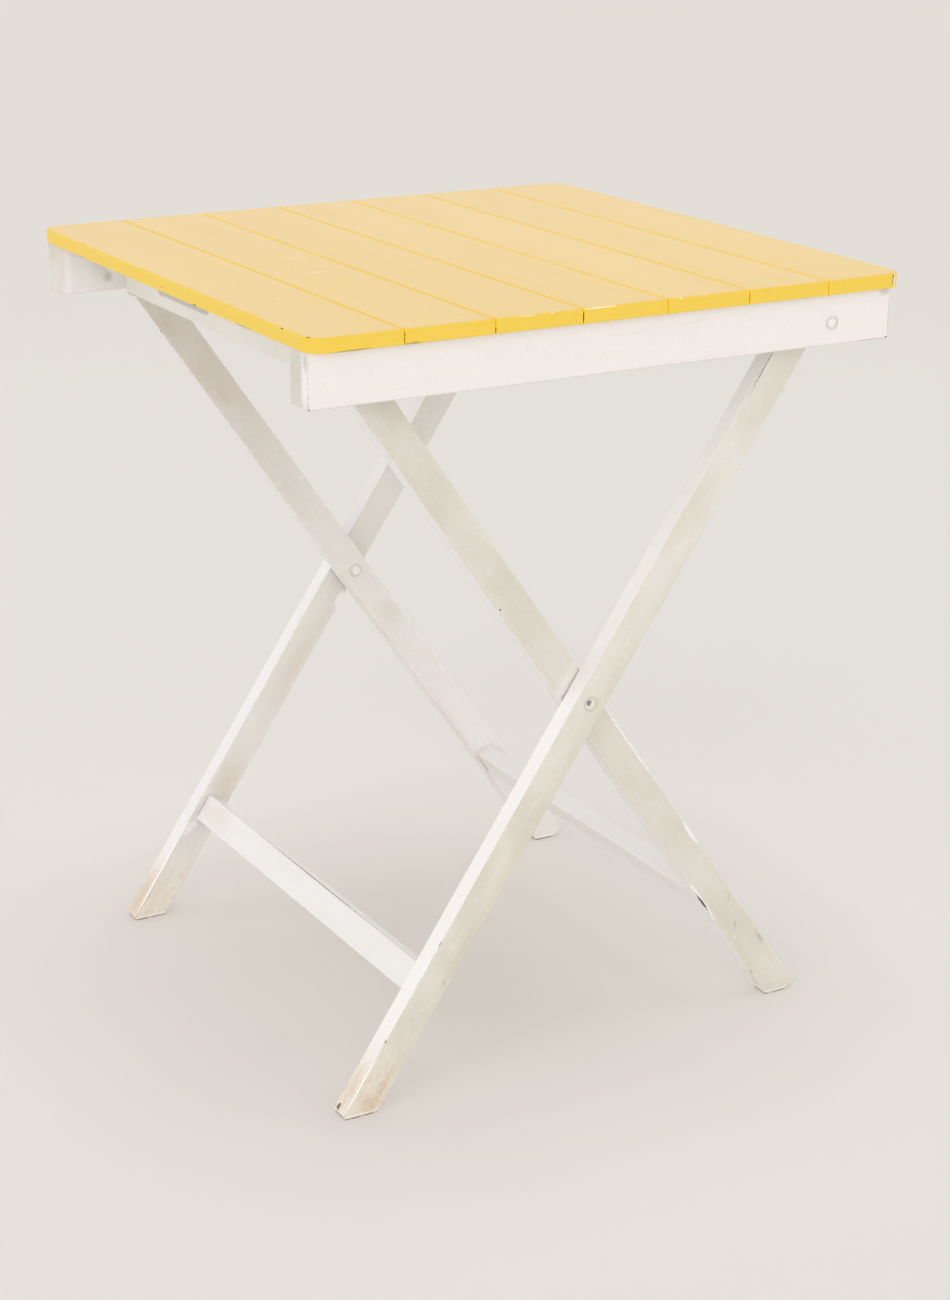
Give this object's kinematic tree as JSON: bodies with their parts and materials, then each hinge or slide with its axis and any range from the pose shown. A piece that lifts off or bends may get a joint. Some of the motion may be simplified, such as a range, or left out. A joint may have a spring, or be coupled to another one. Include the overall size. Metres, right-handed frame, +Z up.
{
  "type": "folding side table",
  "caption": "Folding wooden side table with a square slatted yellow top on crossed white legs that fold flat into its two rails.",
  "frame": {"origin": "on the floor, under the middle of the tabletop", "axes": "+Z up, +X along the rails from the free end of the top to the hinged end, +Y along the boards"},
  "size_m": [0.6, 0.6, 0.736],
  "materials": {
    "yellow_paint": "satin oil paint",
    "white_paint": "satin oil paint, worn at the arrises",
    "bare_wood": "raw",
    "painted_steel": "painted over with the frame",
    "bare_steel": "dull, slightly rusted"
  },
  "bodies": {
    "outer_frame": {"outer_leg_near": "white_paint", "outer_leg_far": "white_paint", "outer_stretcher": "white_paint"},
    "top": {"top_board_1": "yellow_paint", "top_board_2": "yellow_paint", "top_board_3": "yellow_paint", "top_board_4": "yellow_paint", "top_board_5": "yellow_paint", "top_board_6": "yellow_paint", "top_board_7": "yellow_paint", "rail_near_outer_ply": "white_paint", "rail_near_inner_ply": "white_paint", "rail_far_outer_ply": "white_paint", "rail_far_inner_ply": "white_paint", "board_dowels_near": "bare_wood", "board_dowels_far": "bare_wood", "rail_rivet_near": "painted_steel", "rail_rivet_far": "painted_steel", "rail_spacer_near": "bare_steel", "rail_spacer_far": "bare_steel", "rail_rivet_washer_near": "bare_steel", "rail_rivet_washer_far": "bare_steel"},
    "inner_frame": {"inner_leg_near": "white_paint", "inner_leg_far": "white_paint", "inner_stretcher": "white_paint", "inner_crossbar": "white_paint", "leg_rivet_near": "painted_steel", "leg_rivet_far": "painted_steel", "leg_spacer_near": "bare_steel", "leg_spacer_far": "bare_steel"}
  },
  "joints": [
    {"name": "top_fold", "type": "hinge", "parent": "outer_frame", "child": "top", "pos_m": [0.22675, 0, 0.69517], "axis": [0, -1, 0], "range_deg": [0, 52.5]},
    {"name": "leg_fold", "type": "hinge", "parent": "outer_frame", "child": "inner_frame", "pos_m": [0, 0, 0.359], "axis": [0, -1, 0], "range_deg": [0, 105]}
  ],
  "couplings": [
    {"joint": "leg_fold", "follows": "top_fold", "ratio": 2}
  ]
}
